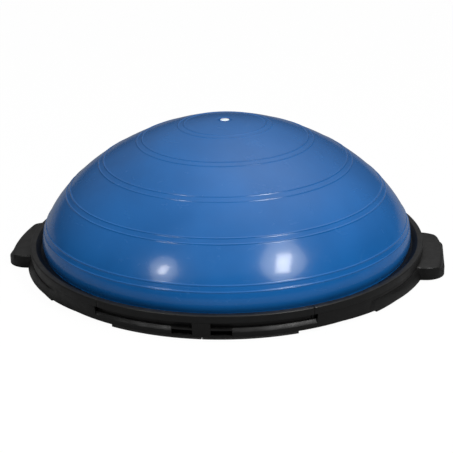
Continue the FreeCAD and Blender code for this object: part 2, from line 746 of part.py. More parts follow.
def make_valve_plug():
    """The white stopper: a bevelled head over a stem with a tapered tip."""
    body = new_body("valve_plug")
    head, edge, crown = size("plug_head"), size("plug_head_edge"), size("plug_crown")
    stem, tip = size("plug_stem"), size("plug_tip")
    corners = [
        (measure(0), tip),
        (size("plug_taper"), tip),
        (stem, tip + size("plug_taper_length")),
        (stem, size("plug_head_low")),
        (head, size("plug_head_low")),
        (head, edge),
        (head - size("plug_bevel"), crown),
        (measure(0), crown),
    ]
    sketch = new_sketch(body, "plug_section", "XZ_Plane")
    draw(sketch, corners)
    turned(body, "plug", "Revolution", sketch)
    return body


def make_foot_pad(number, start, place):
    """A rubber foot: an arc along the rim, under the shell's edge."""
    name = f"foot_pad_{number}"
    body = new_body(name)
    inner, outer = size("pad_inner"), size(f"pad_{place}_outer")
    edge, top = size("pad_edge"), size("foot_height")
    corners = [
        (inner + edge, measure(0)),
        (outer - edge, measure(0)),
        (outer, edge),
        (outer, top),
        (inner, top),
        (inner, edge),
    ]
    sketch = new_sketch(body, f"{name}_section", "XZ_Plane")
    draw(sketch, corners)
    turned(body, f"{name}_arc", "Revolution", sketch, size(f"pad_{place}_sweep"))
    body.Placement = spin(start)
    return body


def make_feet():
    """Two feet at the front and at the back, and one on each side of each handle."""
    feet = []
    for middle, place in ((RIGHT, "side"), (BACK, "front"), (LEFT, "side"), (FRONT, "front")):
        start, sweep = size(f"pad_{place}_start").value, size(f"pad_{place}_sweep").value
        feet.append(make_foot_pad(len(feet) + 1, middle - start - sweep, place))
        feet.append(make_foot_pad(len(feet) + 1, middle + start, place))
    return feet


def make_screws(name, head_face, tip, circle, count):
    """Like screws on one circle. The head sits outside head_face and the shank runs to the tip."""
    upward = 1.0 if tip > head_face else -1.0
    head = doc.addObject("Part::Cylinder", f"{name}_head")
    bind(head, "Radius", size("screw_head"))
    bind(head, "Height", size("head_height"))
    shank = doc.addObject("Part::Cylinder", f"{name}_shank")
    bind(shank, "Radius", size("screw_shank"))
    shank.Height = abs(tip - head_face)
    one = doc.addObject("Part::Fuse", f"{name}_one")
    one.Base = head
    one.Tool = shank
    if upward > 0:
        head.Placement.Base = FreeCAD.Vector(0, 0, -size("head_height").value)
    else:
        shank.Placement.Base = FreeCAD.Vector(0, 0, tip - head_face)
    doc.recompute()
    group = doc.addObject("Part::Feature", name)
    solids = []
    for number in range(count):
        angle = math.radians((number + 0.5) * FULL_TURN / count)
        copy = one.Shape.copy()
        copy.translate(FreeCAD.Vector(circle * math.cos(angle), circle * math.sin(angle), head_face))
        solids.append(copy)
    group.Shape = Part.makeCompound(solids)
    group.Label = name
    return group


def build():
    """Every piece of the trainer, in the order it goes together."""
    wide = Measure(180 - 2 * size("seam_angle").value, "(180 - 2 * Sizes.seam_angle)")
    narrow = size("seam_angle") * 2
    pieces = [
        make_base_shell(),
        make_support_deck(),
        make_ring_segment("clamp_ring_front", FRONT, narrow),
        make_ring_segment("clamp_ring_right", 0.0, wide),
        make_ring_segment("clamp_ring_back", BACK, narrow),
        make_ring_segment("clamp_ring_left", 180.0, wide),
        make_dome_bladder(),
        make_valve_body(),
        make_valve_plug(),
    ]
    pieces += make_feet()
    deck_top = size("rib_top") + size("deck_thickness")
    pieces.append(
        make_screws(
            "ring_screws",
            size("boss_low").value,
            size("screw_tip").value,
            size("screw_circle").value,
            int(size("screw_count").value),
        )
    )
    pieces.append(
        make_screws(
            "deck_screws",
            (deck_top - size("head_height")).value,
            size("deck_screw_tip").value,
            size("deck_screw_circle").value,
            int(size("deck_screw_count").value),
        )
    )
    return pieces


def save(pieces):
    """Test every object and shape, then write one file for each piece."""
    doc.recompute()
    for thing in doc.Objects:
        if {"Invalid", "Error"} & set(thing.State):
            raise RuntimeError(f"{thing.Name} failed: {thing.State}")
    os.makedirs("parts", exist_ok=True)
    for piece in pieces:
        shape = piece.Shape
        if shape.isNull() or not shape.isValid() or not shape.Solids:
            raise RuntimeError(f"{piece.Label} has no good shape")
        shape.exportStep(f"parts/{piece.Label}.step")
        box = shape.BoundBox
        print(
            f"{piece.Label}: {len(shape.Solids)} solid(s), {shape.Volume / 1000:.1f} cm3,"
            f" x {box.XMin:.1f} {box.XMax:.1f}, y {box.YMin:.1f} {box.YMax:.1f}, z {box.ZMin:.1f} {box.ZMax:.1f}"
        )


save(build())
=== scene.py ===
"""Balance dome trainer: a blue air-filled half ball clamped to a black round platform with two handles.

Lengths are in metres. The origin is on the floor under the middle, the handles are at +X and -X, and the
front of the rim, with its middle block, is at -Y.
"""
import math
from functools import partial

import bmesh
import bpy
from bpy.props import FloatProperty, FloatVectorProperty, IntProperty, PointerProperty
from mathutils import Matrix, Quaternion, Vector, noise


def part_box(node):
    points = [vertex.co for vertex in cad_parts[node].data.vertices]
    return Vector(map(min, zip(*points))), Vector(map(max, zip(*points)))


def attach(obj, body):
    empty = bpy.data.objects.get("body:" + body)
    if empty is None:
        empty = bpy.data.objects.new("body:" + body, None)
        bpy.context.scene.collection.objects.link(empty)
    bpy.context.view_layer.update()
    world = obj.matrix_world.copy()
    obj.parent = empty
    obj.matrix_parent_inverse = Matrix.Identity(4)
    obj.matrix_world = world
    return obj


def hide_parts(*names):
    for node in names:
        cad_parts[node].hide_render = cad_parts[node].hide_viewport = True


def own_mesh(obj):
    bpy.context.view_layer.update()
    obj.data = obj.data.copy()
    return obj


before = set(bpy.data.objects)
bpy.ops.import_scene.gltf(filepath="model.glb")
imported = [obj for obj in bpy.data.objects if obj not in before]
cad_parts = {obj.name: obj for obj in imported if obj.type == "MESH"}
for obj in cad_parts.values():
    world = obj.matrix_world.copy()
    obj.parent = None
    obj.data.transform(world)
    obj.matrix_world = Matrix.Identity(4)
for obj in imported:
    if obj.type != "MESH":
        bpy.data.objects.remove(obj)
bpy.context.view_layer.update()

bl_info = {
    "name": "Balance dome trainer",
    "version": (1, 0, 0),
    "blender": (4, 5, 0),
    "location": "View3D > Sidebar > Trainer",
    "description": "Builds the skin, the fittings and the studio of a balance dome trainer",
    "category": "Add Mesh",
}

MM = 0.001
FULL_TURN = 2 * math.pi
ON_AXIS = 1e-9
WHITE = (1.0, 1.0, 1.0, 1.0)
ROW_SHARE = math.sqrt(0.75)
SHARP_END = math.radians(60)

# The colour sockets of a Mix node share their names with others, so they go by number.
MIX_FIRST, MIX_SECOND, MIX_RESULT = 6, 7, 2

RINGS = {
    "front": (-90.0, 60.0),
    "right": (0.0, 120.0),
    "back": (90.0, 60.0),
    "left": (180.0, 120.0),
}
FEET = {
    1: (0.0, -1, "side"),
    2: (0.0, 1, "side"),
    3: (90.0, -1, "front"),
    4: (90.0, 1, "front"),
    5: (180.0, -1, "side"),
    6: (180.0, 1, "side"),
    7: (-90.0, -1, "front"),
    8: (-90.0, 1, "front"),
}


def length(label, text, default, **more):
    return FloatProperty(name=label, description=text, default=default, unit="LENGTH", precision=4, **more)


def power(label, text, watts):
    return FloatProperty(name=label, description=text, default=watts, unit="POWER")


def angle(label, text, degrees):
    return FloatProperty(name=label, description=text, default=math.radians(degrees), subtype="ANGLE")


def colour(label, text, default):
    return FloatVectorProperty(
        name=label, description=text, default=default, size=3, min=0.0, max=1.0, subtype="COLOR"
    )


class TrainerDomeSizes(bpy.types.PropertyGroup):
    """Sizes of the inflated half ball and its valve."""

    crown: length("Crown", "Height of the dome's top", 222.0 * MM)
    crown_radius: length("Crown radius", "Profile radius round the top", 295.0 * MM)
    crown_slope: angle("Crown slope", "Slope where the top's arc ends", 17.0)
    shoulder_radius: length("Shoulder radius", "Profile radius of the flatter upper side", 393.0 * MM)
    shoulder_slope: angle("Shoulder slope", "Slope where that arc ends", 36.0)
    flank_radius: length("Flank radius", "Profile radius of the flank", 266.0 * MM)
    flank_slope: angle("Flank slope", "Slope where the flank ends", 52.0)
    side_radius: length("Side radius", "Profile radius of the side", 167.0 * MM)
    side_slope: angle("Side slope", "Slope where the side ends", 66.0)
    brow_radius: length("Brow radius", "Profile radius of the full lower side", 54.0 * MM)
    wall: length("Wall", "Thickness of the vinyl", 3.2 * MM)
    neck_radius: length("Neck radius", "Radius of the neck inside the clamp ring", 277.2 * MM)
    neck_top: length("Neck top", "Height where the neck starts to swell", 31.0 * MM)
    bead_radius: length("Bead radius", "Outer radius of the clamped bead", 285.2 * MM)
    bead_low: length("Bead underside", "Height of the bead's underside", 24.3 * MM)
    bead_top: length("Bead top", "Height of the bead's top", 27.5 * MM)
    floor_radius: length("Floor radius", "Radius of the bladder's floor", 281.7 * MM)
    floor_low: length("Floor underside", "Height of the floor's underside", 21.0 * MM)
    hole: length("Hole", "Radius of the hole for the valve", 10.0 * MM)
    band_spacing: length("Band spacing", "Distance between grip bands along the profile", 66.3 * MM)
    band_count: IntProperty(name="Bands", description="Number of grip bands", default=5, min=0, max=5)
    ridge_spacing: length("Ridge spacing", "Distance between the two ridges of a band", 9.0 * MM)
    ridge_width: length("Ridge width", "Width of a ridge at half its height", 1.5 * MM)
    ridge_height: length("Ridge height", "Height of a ridge", 0.65 * MM)
    sway: length("Sway", "How far the stretched skin leaves a true round", 0.35 * MM)
    columns: IntProperty(name="Columns", description="Divisions round the dome", default=320, min=32, max=512)


class TrainerRimSizes(bpy.types.PropertyGroup):
    """Sizes of the clamp ring, the platform's edge and the fittings under it."""

    lip: length("Lip radius", "Outer radius of the clamp ring", 300.0 * MM)
    lip_top: length("Lip top", "Height of the ring's top", 38.0 * MM)
    lip_inner: length("Lip inner radius", "Where the lip's top ends inside", 291.4 * MM)
    joint: length("Joint height", "Where the lip sits on the wall", 27.0 * MM)
    bend_radius: length("Slope radius", "Where the ring's inner slope starts to climb", 284.0 * MM)
    bend_height: length("Slope height", "Height of that bend", 31.2 * MM)
    flange_inner: length("Flange radius", "Inner radius of the clamping flange", 277.5 * MM)
    flange_top: length("Flange top", "Top of the flange at its inner edge", 29.8 * MM)
    flange_low: length("Flange underside", "Underside of the clamping flange", 27.8 * MM)
    spigot_inner: length("Spigot inner radius", "Inner radius of the spigot", 285.6 * MM)
    spigot_outer: length("Spigot outer radius", "Outer radius of the spigot", 291.0 * MM)
    seat: length("Seat height", "Ledge under the spigot", 17.5 * MM)
    seam: length("Seam", "Gap between two lengths of ring", 0.6 * MM)
    step: angle("Step", "Angle of one division of the ring", 0.75)
    edge: length("Edge", "Rounding of the moulded edges", 0.6 * MM)
    screw_circle: length("Screw circle", "Radius of the circle of ring screws", 288.3 * MM)
    screw_count: IntProperty(name="Screws", description="Number of ring screws", default=12, min=4, max=32)
    head_face: length("Head face", "Height of the face under which the heads sit", 7.0 * MM)
    foot_inner: length("Foot inner radius", "Inner radius of the rubber feet, which are arcs", 275.0 * MM)
    foot_front: length("Front foot radius", "Outer radius of the feet at the front and back", 294.0 * MM)
    foot_side: length("Side foot radius", "Outer radius of the feet beside the handles", 298.0 * MM)
    foot_top: length("Foot height", "Height of the feet, under the tread", 4.0 * MM)
    front_start: angle("Front foot start", "Where a foot starts, from the front or back", 0.1)
    front_sweep: angle("Front foot sweep", "Arc of a foot at the front or back", 25.9)
    side_start: angle("Side foot start", "Where a foot starts, from a handle's middle", 17.5)
    side_sweep: angle("Side foot sweep", "Arc of a foot beside a handle", 21.0)
    stud_pitch: length("Stud pitch", "Distance between the tread's studs", 19.0 * MM)
    stud_radius: length("Stud radius", "Radius of a stud at its foot", 3.4 * MM)
    stud_drop: length("Stud drop", "How far a stud stands out of the tread", 0.8 * MM)
    tread_reach: length("Tread reach", "Radius of the studded part of the tread", 238.0 * MM)


class TrainerFinish(bpy.types.PropertyGroup):
    """Colours of the finishes."""

    vinyl: colour("Vinyl", "The dome's blue", (0.008, 0.125, 0.4))
    vinyl_deep: colour("Deep vinyl", "The darker patches of the dome's blue", (0.006, 0.104, 0.34))
    shell: colour("Shell", "The platform's black", (0.0045, 0.0045, 0.0045))
    ring: colour("Ring", "The clamp ring's black", (0.0045, 0.0046, 0.0048))
    rubber: colour("Rubber", "The feet's black", (0.024, 0.024, 0.024))
    deck: colour("Deck", "The inner deck's grey", (0.06, 0.06, 0.065))
    # The plug's colour is white with a painted blue cast, standing in for light that passes through it from
    # the blue vinyl.
    plug: colour("Plug", "The plug's white", (0.86, 0.93, 1.0))
    steel: colour("Steel", "The screws' grey", (0.5, 0.5, 0.51))


class TrainerStage(bpy.types.PropertyGroup):
    """The camera, fitted to the outlines in the photograph, and the lamps."""

    azimuth: angle("Camera azimuth", "Turn of the camera to the right of the front", 7.0)
    elevation: angle("Camera elevation", "Height of the camera as an angle", 19.72)
    distance: length("Camera distance", "Distance from the camera to the point it was fitted on", 2.0214)
    pivot: length("Pivot height", "Height of that point on the dome's axis", 98.4 * MM)
    tilt: angle("Tilt", "How far the camera looks below that point", 1.266)
    roll: angle("Roll", "Turn of the picture about its middle", 0.96)
    lens: FloatProperty(name="Lens", description="Focal length in mm on a 36 mm sensor", default=105.33)
    front: power("Front", "Soft lamp above the front", 4.0)
    window: power("Window", "Upright lamp on the right", 13.0)
    slit: power("Slit", "Narrow lamp on the left", 3.8)
    window_halo: power("Window halo", "Wide weak lamp round the upright one", 16.0)
    slit_halo: power("Slit halo", "Wide weak lamp round the narrow one", 7.0)
    sky: FloatProperty(name="Sky", description="Strength of the room's pale light overhead", default=0.42)
    glow: FloatProperty(name="Glow", description="Strength of the soft patch of light overhead", default=1.3)
    dusk: FloatProperty(name="Dusk", description="Strength of the room's light at the floor", default=0.02)


SETTINGS = {
    "trainer_dome": TrainerDomeSizes,
    "trainer_rim": TrainerRimSizes,
    "trainer_finish": TrainerFinish,
    "trainer_stage": TrainerStage,
}


def add_node(tree, kind, inputs=None, **settings):
    """A node with its settings, and inputs that are plain values or other nodes' sockets."""
    node = tree.nodes.new(kind)
    for name, value in settings.items():
        setattr(node, name, value)
    for key, value in (inputs or {}).items():
        if isinstance(value, bpy.types.NodeSocket):
            tree.links.new(value, node.inputs[key])
        else:
            node.inputs[key].default_value = value
    return node


def maths(tree, operation, *values):
    """The result of a Math node, from plain numbers or other nodes' sockets."""
    return add_node(tree, "ShaderNodeMath", dict(enumerate(values)), operation=operation).outputs["Value"]


class Finish:
    """A surface's material, whose patterns are added one by one round its shader."""

    def __init__(self, name, specular):
        self.material = bpy.data.materials.new(name)
        self.material.use_nodes = True
        self.tree = self.material.node_tree
        self.shader = self.tree.nodes["Principled BSDF"]
        self.shader.inputs["Specular IOR Level"].default_value = specular
        self.place = self.node("ShaderNodeTexCoord").outputs["Object"]
        self.normal = None

    def node(self, kind, inputs=None, **settings):
        return add_node(self.tree, kind, inputs, **settings)

    def grain(self, scale, detail=4.0, roughness=0.5, distortion=0.0, stretch=(1.0, 1.0, 1.0)):
        """A noise whose features repeat about every 1 / scale metres."""
        place = self.node("ShaderNodeMapping", {"Vector": self.place, "Scale": stretch})
        inputs = {
            "Vector": place.outputs["Vector"],
            "Scale": scale,
            "Detail": detail,
            "Roughness": roughness,
            "Distortion": distortion,
        }
        return self.node("ShaderNodeTexNoise", inputs).outputs["Fac"]

    def cells(self, scale):
        """Rounded cells, like the grain etched into a mould."""
        inputs = {"Vector": self.place, "Scale": scale}
        return self.node("ShaderNodeTexVoronoi", inputs, feature="SMOOTH_F1").outputs["Distance"]

    def span(self, value, low, high, start, end):
        """The value's stretch from low to high, spread over start to end."""
        inputs = {"Value": value, "From Min": low, "From Max": high, "To Min": start, "To Max": end}
        return self.node("ShaderNodeMapRange", inputs).outputs["Result"]

    def mix(self, share, first, second):
        """Two tones, each a colour or a socket, mixed by a share."""
        tones = [tone if isinstance(tone, bpy.types.NodeSocket) else (*tone, 1.0) for tone in (first, second)]
        inputs = {"Factor": share, MIX_FIRST: tones[0], MIX_SECOND: tones[1]}
        return self.node("ShaderNodeMix", inputs, data_type="RGBA").outputs[MIX_RESULT]

    def bump(self, height, distance, strength=1.0):
        """Raises a pattern by a distance, on top of the bumps made before it."""
        inputs = {"Height": height, "Distance": distance, "Strength": strength}
        if self.normal is not None:
            inputs["Normal"] = self.normal
        self.normal = self.node("ShaderNodeBump", inputs).outputs["Normal"]
        self.tree.links.new(self.normal, self.shader.inputs["Normal"])

    def upward(self):
        """How far the surface faces up, from -1 to 1."""
        normal = self.node("ShaderNodeNewGeometry").outputs["Normal"]
        return self.node("ShaderNodeSeparateXYZ", {"Vector": normal}).outputs["Z"]

    def paint(self, tone):
        self.tree.links.new(tone, self.shader.inputs["Base Color"])

    def gloss(self, value):
        self.tree.links.new(value, self.shader.inputs["Roughness"])


def vinyl_finish():
    """Stretched blue vinyl: soft gloss, orange peel, faint clouding and handling marks."""
    tones = bpy.context.scene.trainer_finish
    finish = Finish("blue_vinyl_finish", 0.25)
    finish.shader.inputs["Coat Weight"].default_value = 0.4
    finish.shader.inputs["Coat Roughness"].default_value = 0.1
    clouds = finish.span(finish.grain(9.0, 3.0), 0.35, 0.65, 0.0, 1.0)
    tone = finish.mix(clouds, tones.vinyl_deep, tones.vinyl)
    chalk = finish.span(finish.grain(46.0, 6.0, 0.7, 0.6), 0.62, 0.8, 0.0, 0.16)
    finish.paint(finish.mix(chalk, tone, (0.1, 0.24, 0.5)))
    smears = finish.span(finish.grain(22.0, 6.0, 0.65, 1.2, (1.0, 1.0, 2.6)), 0.3, 0.7, 0.2, 0.29)
    finish.gloss(smears)
    finish.bump(finish.grain(24.0, 2.0), 0.0005, 0.4)
    finish.bump(finish.grain(500.0, 2.0), 0.00001, 0.3)
    return finish.material


def moulded_finish(name, tone, grain_depth):
    """Black moulded plastic: etched grain, rubbed patches and a little dust on what faces up."""
    finish = Finish(name, 0.3)
    rubbed = finish.span(finish.grain(38.0, 7.0, 0.68, 0.8), 0.5, 0.78, 0.0, 0.55)
    lighter = tuple(part * 2.1 + 0.003 for part in tone)
    base = finish.mix(rubbed, tuple(tone), lighter)
    facing = finish.span(finish.upward(), 0.4, 1.0, 0.0, 1.0)
    settled = finish.span(finish.grain(120.0, 5.0, 0.7), 0.4, 0.75, 0.02, 0.22)
    dust = maths(finish.tree, "MULTIPLY", facing, settled)
    finish.paint(finish.mix(dust, base, (0.05, 0.048, 0.046)))
    finish.gloss(finish.span(finish.grain(55.0, 5.0, 0.6), 0.3, 0.7, 0.34, 0.5))
    finish.bump(finish.cells(900.0), grain_depth, 0.6)
    finish.bump(finish.grain(60.0, 3.0), 0.0002, 0.4)
    return finish.material


def rubber_finish():
    """Dull black rubber with a fine tooth and chalky wear."""
    tones = bpy.context.scene.trainer_finish
    finish = Finish("foot_rubber_finish", 0.35)
    chalk = finish.span(finish.grain(160.0, 6.0, 0.7), 0.45, 0.8, 0.0, 0.4)
    finish.paint(finish.mix(chalk, tuple(tones.rubber), (0.075, 0.074, 0.072)))
    finish.gloss(finish.span(finish.grain(90.0), 0.3, 0.7, 0.65, 0.85))
    finish.bump(finish.cells(1400.0), 0.00012, 0.7)
    return finish.material


def deck_finish():
    """The plain grey plastic of the inner deck."""
    tones = bpy.context.scene.trainer_finish
    finish = Finish("inner_deck_finish", 0.4)
    streaks = finish.span(finish.grain(14.0, 5.0, 0.6, 1.5, (1.0, 6.0, 1.0)), 0.35, 0.7, 0.0, 1.0)
    darker = tuple(part * 0.7 for part in tones.deck)
    finish.paint(finish.mix(streaks, tuple(tones.deck), darker))
    finish.gloss(finish.span(finish.grain(70.0), 0.3, 0.7, 0.42, 0.6))
    finish.bump(finish.grain(500.0, 2.0), 0.0001, 0.4)
    return finish.material


def plug_finish():
    """The plug's white plastic with a painted blue cast for the light it takes from the blue vinyl, slightly
    greyed where fingers press.
    """
    tones = bpy.context.scene.trainer_finish
    finish = Finish("white_plug_finish", 0.45)
    finish.shader.inputs["Subsurface Weight"].default_value = 0.12
    finish.shader.inputs["Subsurface Scale"].default_value = 0.002
    grime = finish.span(finish.grain(320.0, 5.0, 0.7), 0.5, 0.8, 0.0, 0.35)
    finish.paint(finish.mix(grime, tuple(tones.plug), (0.55, 0.58, 0.62)))
    finish.gloss(finish.span(finish.grain(260.0), 0.3, 0.7, 0.3, 0.48))
    finish.bump(finish.grain(1500.0, 2.0), 0.00005, 0.4)
    return finish.material


def steel_finish():
    """Zinc-plated steel with fine turning marks."""
    tones = bpy.context.scene.trainer_finish
    finish = Finish("screw_steel_finish", 0.5)
    finish.shader.inputs["Metallic"].default_value = 1.0
    stain = finish.span(finish.grain(420.0, 5.0, 0.7), 0.4, 0.75, 0.0, 0.6)
    finish.paint(finish.mix(stain, tuple(tones.steel), (0.27, 0.26, 0.24)))
    finish.gloss(finish.span(finish.grain(600.0), 0.3, 0.7, 0.25, 0.5))
    finish.bump(finish.grain(2400.0, 2.0), 0.00003, 0.4)
    return finish.material


def finish_named(slot):
    """The material of one of the record's slots, made once."""
    name = f"{slot}_finish"
    if name not in bpy.data.materials:
        tones = bpy.context.scene.trainer_finish
        makers = {
            "blue_vinyl": vinyl_finish,
            "moulded_shell": lambda: moulded_finish(name, tones.shell, 0.00006),
            "moulded_ring": lambda: moulded_finish(name, tones.ring, 0.00004),
            "inner_deck": deck_finish,
            "white_plug": plug_finish,
            "foot_rubber": rubber_finish,
            "screw_steel": steel_finish,
        }
        return makers[slot]()
    return bpy.data.materials[name]


def new_object(name, mesh, slot=None):
    """A piece of that mesh in the scene, with its finish."""
    piece = bpy.data.objects.new(name, mesh)
    bpy.context.scene.collection.objects.link(piece)
    if slot:
        mesh.materials.clear()
        mesh.materials.append(finish_named(slot))
    return piece


def settle(piece, body, slot, *nodes):
    """The piece rides on a body and stands for CAD nodes, which it hides; the slot is not used."""
    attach(piece, body)
    if nodes:
        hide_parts(*nodes)
    return piece


def mesh_from(bm, name, smooth=True):
    """A mesh whose faces point outwards."""
    bmesh.ops.recalc_face_normals(bm, faces=bm.faces)
    mesh = bpy.data.meshes.new(name)
    bm.to_mesh(mesh)
    bm.free()
    mesh.polygons.foreach_set("use_smooth", [smooth] * len(mesh.polygons))
    return mesh


def rounded(corners):
    """A closed outline whose corners, given as (x, y, radius), are turned in short steps."""
    outline = []
    for k, (x, y, radius) in enumerate(corners):
        here = Vector((x, y))
        back = Vector(corners[k - 1][:2]) - here
        ahead = Vector(corners[(k + 1) % len(corners)][:2]) - here
        if radius <= 0:
            outline.append(here)
            continue
        half = back.angle(ahead) / 2
        reach = radius / math.tan(half)
        centre = here + (back.normalized() + ahead.normalized()).normalized() * (radius / math.sin(half))
        first = here + back.normalized() * reach - centre
        last = here + ahead.normalized() * reach - centre
        steps = max(2, round(math.degrees(math.pi - 2 * half) / 15))
        turn = first.angle_signed(last)
        for step in range(steps + 1):
            outline.append(centre + Matrix.Rotation(-turn * step / steps, 2) @ first)
    return outline


def spun(outline, columns, start=0.0, sweep=FULL_TURN):
    """The outline of (radius, height) points turned about the vertical axis, and capped if it is an arc."""
    bm = bmesh.new()
    full = abs(sweep - FULL_TURN) < 1e-6
    closed_outline = outline[0] != outline[-1] and outline[0][0] > ON_AXIS
    rows = []
    poles = {}
    for k, (radius, height) in enumerate(outline):
        if radius < ON_AXIS:
            poles[k] = bm.verts.new((0, 0, height))
            rows.append(None)
            continue
        count = columns if full else columns + 1
        ring = []
        for column in range(count):
            turn = start + sweep * column / columns
            ring.append(bm.verts.new((radius * math.cos(turn), radius * math.sin(turn), height)))
        rows.append(ring)
    pairs = [(k, k + 1) for k in range(len(outline) - 1)]
    if closed_outline:
        pairs.append((len(outline) - 1, 0))
    for one, other in pairs:
        upper, lower = rows[one], rows[other]
        for column in range(columns):
            following = (column + 1) % columns if full else column + 1
            if upper is None:
                bm.faces.new((poles[one], lower[column], lower[following]))
            elif lower is None:
                bm.faces.new((upper[column], poles[other], upper[following]))
            else:
                bm.faces.new((upper[column], lower[column], lower[following], upper[following]))
    if not full:
        bm.faces.new([ring[0] for ring in rows])
        bm.faces.new([ring[-1] for ring in reversed(rows)])
    return bm


def dome_arcs(inset):
    """The dome's arcs from the crown down, moved inwards, as (centre, radius, first angle, last angle)."""
    sizes = bpy.context.scene.trainer_dome
    parts = ("crown", "shoulder", "flank", "side", "brow")
    radii = [getattr(sizes, f"{part}_radius") for part in parts]
    slopes = [getattr(sizes, f"{part}_slope") for part in parts[:-1]] + [math.pi / 2]
    centre = Vector((0.0, sizes.crown - radii[0]))
    arcs = []
    start = 0.0
    for number, (radius, slope) in enumerate(zip(radii, slopes)):
        arcs.append((centre.copy(), radius - inset, start, slope))
        if number + 1 < len(radii):
            centre += (radius - radii[number + 1]) * Vector((math.sin(slope), math.cos(slope)))
        start = slope
    return arcs


def tuck(inset):
    """The arc under the widest part, down to the neck, as (centre, radius, last angle)."""
    sizes = bpy.context.scene.trainer_dome
    centre, radius, _, _ = dome_arcs(inset)[-1]
    widest = centre + Vector((radius, 0.0))
    run = widest.x - (sizes.neck_radius - inset)
    drop = widest.y - sizes.neck_top
    bend = (run * run + drop * drop) / (2 * run)
    return Vector((widest.x - bend, widest.y)), bend, math.asin(drop / bend)


def skin_stations(inset, step, hole):
    """Points down the dome's side, as (place, outward direction, distance from the crown)."""
    stations = []
    travelled = 0.0
    for centre, radius, start, end in dome_arcs(inset):
        arc = (radius + inset) * (end - start)
        steps = max(2, round(arc / step))
        for k in range(steps):
            turn = start + (end - start) * k / steps
            outward = Vector((math.sin(turn), math.cos(turn)))
            place = centre + radius * outward
            if place.x > hole:
                stations.append((place, outward, travelled + arc * k / steps))
        travelled += arc
    centre, radius, last = tuck(inset)
    steps = max(3, round(radius * last / (step / 2)))
    for k in range(steps + 1):
        turn = last * k / steps
        outward = Vector((math.cos(turn), -math.sin(turn)))
        stations.append((centre + radius * outward, outward, travelled + radius * turn))
    return stations


def ridge_places():
    """Distances of all ridges from the crown, two to a band."""
    sizes = bpy.context.scene.trainer_dome
    bands = [band * sizes.band_spacing for band in range(1, sizes.band_count + 1)]
    return [band + side * sizes.ridge_spacing for band in bands for side in (-0.5, 0.5)]


def ridge_rise(distance):
    """Height of the raised grip bands at a distance from the crown."""
    sizes = bpy.context.scene.trainer_dome
    width = 0.6 * sizes.ridge_width
    rise = sum(math.exp(-(((distance - place) / width) ** 2)) for place in ridge_places())
    return rise * sizes.ridge_height


def near_ridge(distance):
    reach = 1.6 * bpy.context.scene.trainer_dome.ridge_width
    return any(abs(distance - place) < reach for place in ridge_places())


def dome_skin_mesh():
    """The bladder: outer skin with its grip bands, hole for the valve, inner wall, floor and clamped bead."""
    sizes = bpy.context.scene.trainer_dome
    fine, coarse, inner_step = 0.36 * MM, 4.2 * MM, 14.0 * MM
    stations = []
    last = -coarse
    for place, outward, distance in skin_stations(0.0, fine, sizes.hole + 0.8 * MM):
        gap = fine if near_ridge(distance) else coarse
        if distance - last >= gap * 0.99 or place.y < sizes.neck_top + 0.01 * MM:
            stations.append((place, outward, distance))
            last = distance
    outer = [place + outward * ridge_rise(distance) for place, outward, distance in stations]
    crown_edge = outer[0].y
    inner = [place for place, _, _ in skin_stations(sizes.wall, inner_step, sizes.hole)]
    neck_in = sizes.neck_radius - sizes.wall
    floor_top = sizes.floor_low + sizes.wall
    outline = [
        Vector((sizes.hole, crown_edge - 0.7 * MM)),
        Vector((sizes.hole + 0.25 * MM, crown_edge - 0.15 * MM)),
        *outer,
        Vector((sizes.neck_radius, sizes.bead_top)),
        Vector((sizes.bead_radius, sizes.bead_top)),
        Vector((sizes.bead_radius, sizes.bead_low)),
        Vector((sizes.floor_radius, sizes.bead_low)),
        Vector((sizes.floor_radius, sizes.floor_low)),
        Vector((0.0, sizes.floor_low)),
    ]
    inside = [
        Vector((0.0, floor_top)),
        Vector((neck_in - sizes.wall, floor_top)),
        Vector((neck_in, floor_top + sizes.wall)),
        *reversed(inner),
        Vector((sizes.hole, inner[0].y)),
    ]
    bm = spun(outline, sizes.columns)
    for vertex in bm.verts:
        x, y, z = vertex.co
        if z > sizes.neck_top and math.hypot(x, y) > 2 * sizes.hole:
            slow = noise.noise(Vector((x, y, z)) * 9.0) + 0.5 * noise.noise(Vector((x, y, z)) * 23.0)
            vertex.co += Vector((x, y, z)).normalized() * (slow * sizes.sway)
    inner_bm = spun(inside, sizes.columns)
    part = bpy.data.meshes.new("inner_wall")
    inner_bm.to_mesh(part)
    inner_bm.free()
    bm.from_mesh(part)
    bpy.data.meshes.remove(part)
    edge = [e for e in bm.edges if e.is_boundary]
    bmesh.ops.bridge_loops(bm, edges=edge)
    return mesh_from(bm, "dome_skin")


